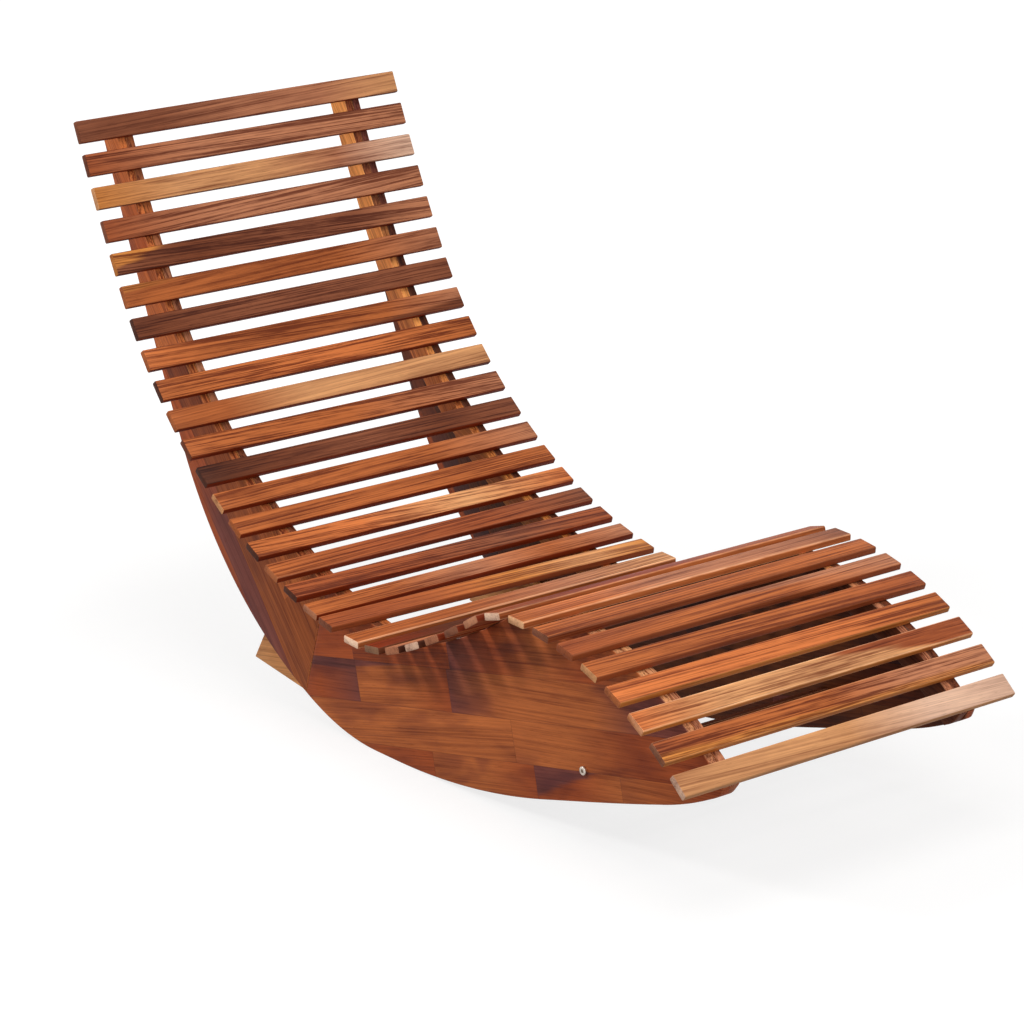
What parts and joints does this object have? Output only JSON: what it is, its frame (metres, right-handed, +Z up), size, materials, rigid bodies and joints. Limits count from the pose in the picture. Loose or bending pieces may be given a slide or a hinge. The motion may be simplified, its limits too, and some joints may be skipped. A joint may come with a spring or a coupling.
{
  "type": "rocking chaise lounge",
  "caption": "Wooden rocking chaise lounge: cross slats on an S-shaped seat line, two built-up sides whose lower edges are the rockers.",
  "frame": {"origin": "on the floor, below the middle of the overall length and width", "axes": "+X towards the foot end, along the length; +Y towards the sitter's left; +Z up"},
  "size_m": [1.4884, 0.6006, 0.8594],
  "materials": {
    "slat_brown": "oiled hardwood, brown tone",
    "slat_dark": "oiled hardwood, dark tone",
    "slat_honey": "oiled hardwood, honey tone",
    "slat_orange": "oiled hardwood, orange tone",
    "slat_rose": "oiled hardwood, rose tone",
    "slat_russet": "oiled hardwood, russet tone",
    "slat_tan": "oiled hardwood, tan tone",
    "slat_umber": "oiled hardwood, umber tone",
    "panel_wood": "oiled hardwood, edge-glued staves",
    "rail_wood": "oiled hardwood",
    "board_wood": "oiled hardwood, light orange brown",
    "steel": "plated steel"
  },
  "bodies": {
    "root": {"slat_01": "slat_brown", "slat_02": "slat_russet", "slat_03": "slat_tan", "slat_04": "slat_brown", "slat_05": "slat_dark", "slat_06": "slat_russet", "slat_07": "slat_umber", "slat_08": "slat_orange", "slat_09": "slat_orange", "slat_10": "slat_tan", "slat_11": "slat_brown", "slat_12": "slat_umber", "slat_13": "slat_orange", "slat_14": "slat_honey", "slat_15": "slat_orange", "slat_16": "slat_brown", "slat_17": "slat_dark", "slat_18": "slat_rose", "slat_19": "slat_honey", "slat_20": "slat_orange", "slat_21": "slat_brown", "slat_22": "slat_brown", "slat_23": "slat_honey", "slat_24": "slat_brown", "slat_25": "slat_brown", "slat_26": "slat_tan", "slat_27": "slat_rose", "slat_28": "slat_russet", "slat_29": "slat_orange", "slat_30": "slat_rose", "slat_31": "slat_russet", "slat_32": "slat_orange", "slat_33": "slat_honey", "slat_34": "slat_brown", "slat_35": "slat_tan", "rear_panel_right": "panel_wood", "front_panel_right": "panel_wood", "upper_back_rail_right": "rail_wood", "lower_back_rail_right": "rail_wood", "seat_rail_right": "rail_wood", "leg_rail_right": "rail_wood", "stop_board_right": "board_wood", "stop_board_screw_right_1": "steel", "stop_board_screw_right_2": "steel", "stop_board_screw_right_3": "steel", "spreader_bolt_right": "steel", "spreader_barrel_nut_right": "steel", "rear_panel_left": "panel_wood", "front_panel_left": "panel_wood", "upper_back_rail_left": "rail_wood", "lower_back_rail_left": "rail_wood", "seat_rail_left": "rail_wood", "leg_rail_left": "rail_wood", "stop_board_left": "board_wood", "stop_board_screw_left_1": "steel", "stop_board_screw_left_2": "steel", "stop_board_screw_left_3": "steel", "spreader_bolt_left": "steel", "spreader_barrel_nut_left": "steel", "front_spreader": "rail_wood"}
  },
  "joints": []
}
